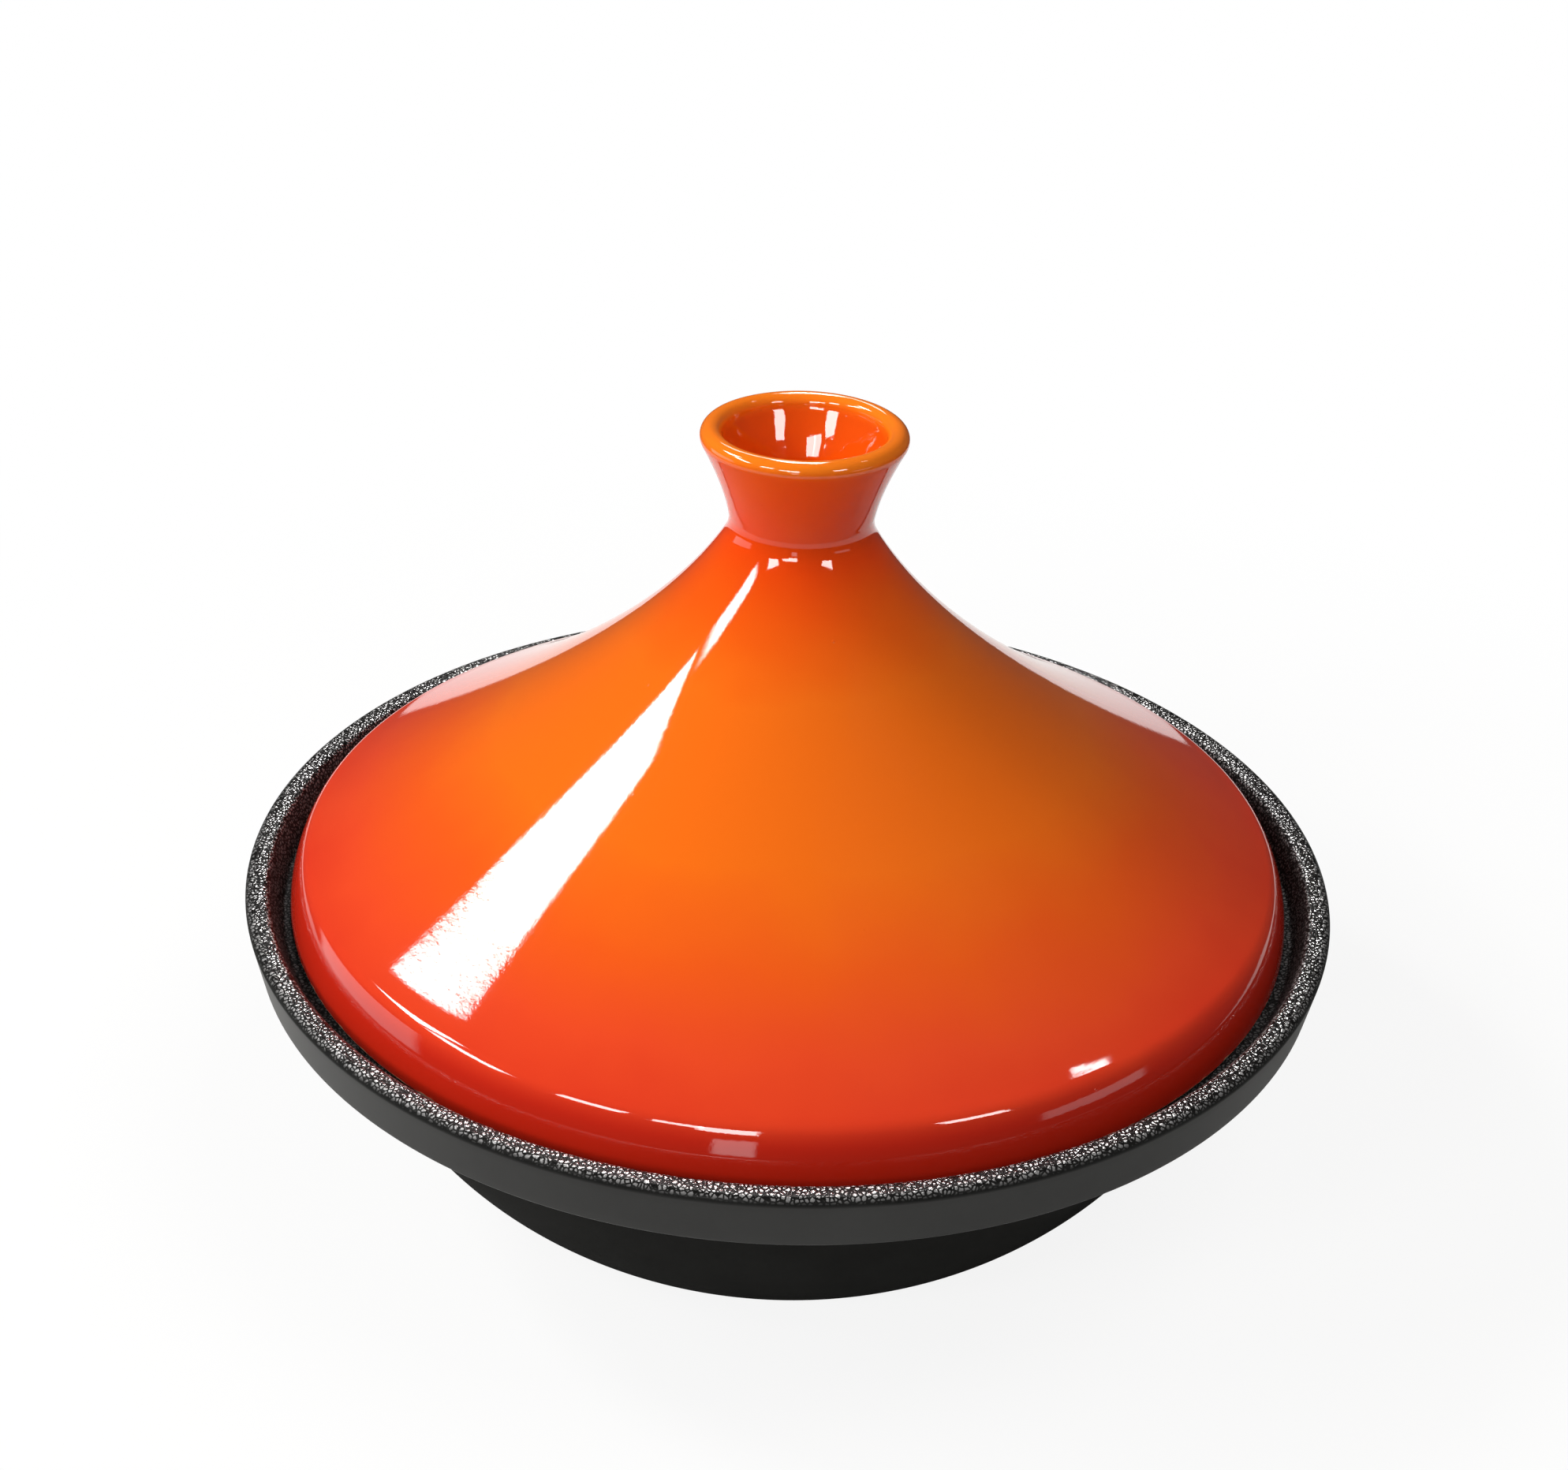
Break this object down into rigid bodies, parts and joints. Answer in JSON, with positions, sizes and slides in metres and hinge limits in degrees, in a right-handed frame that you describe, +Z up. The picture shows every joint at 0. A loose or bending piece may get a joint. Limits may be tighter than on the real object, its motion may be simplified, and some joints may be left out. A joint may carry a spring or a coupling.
{
  "type": "tagine",
  "caption": "Tagine with a shallow cast iron dish and a tall conical glazed lid that stands in a seat inside the dish's rim and lifts off by its flared hollow neck.",
  "frame": {"origin": "centre of the dish's flat base, on the surface it stands on", "axes": "+Z up along the axis that the dish and the lid are turned about; -Y faces the camera of the picture, +X is to its right"},
  "size_m": [0.2842, 0.2842, 0.1995],
  "materials": {
    "cast_iron": "matte black, finely grained",
    "glaze": "high gloss, orange shading to red"
  },
  "bodies": {
    "dish": {"base_dish": "cast_iron"},
    "lid": {"conical_lid": "glaze"}
  },
  "joints": [
    {"name": "lid_lift", "type": "slide", "parent": "dish", "child": "lid", "axis": [0, 0, 1], "range_m": [0, 0.15]}
  ]
}
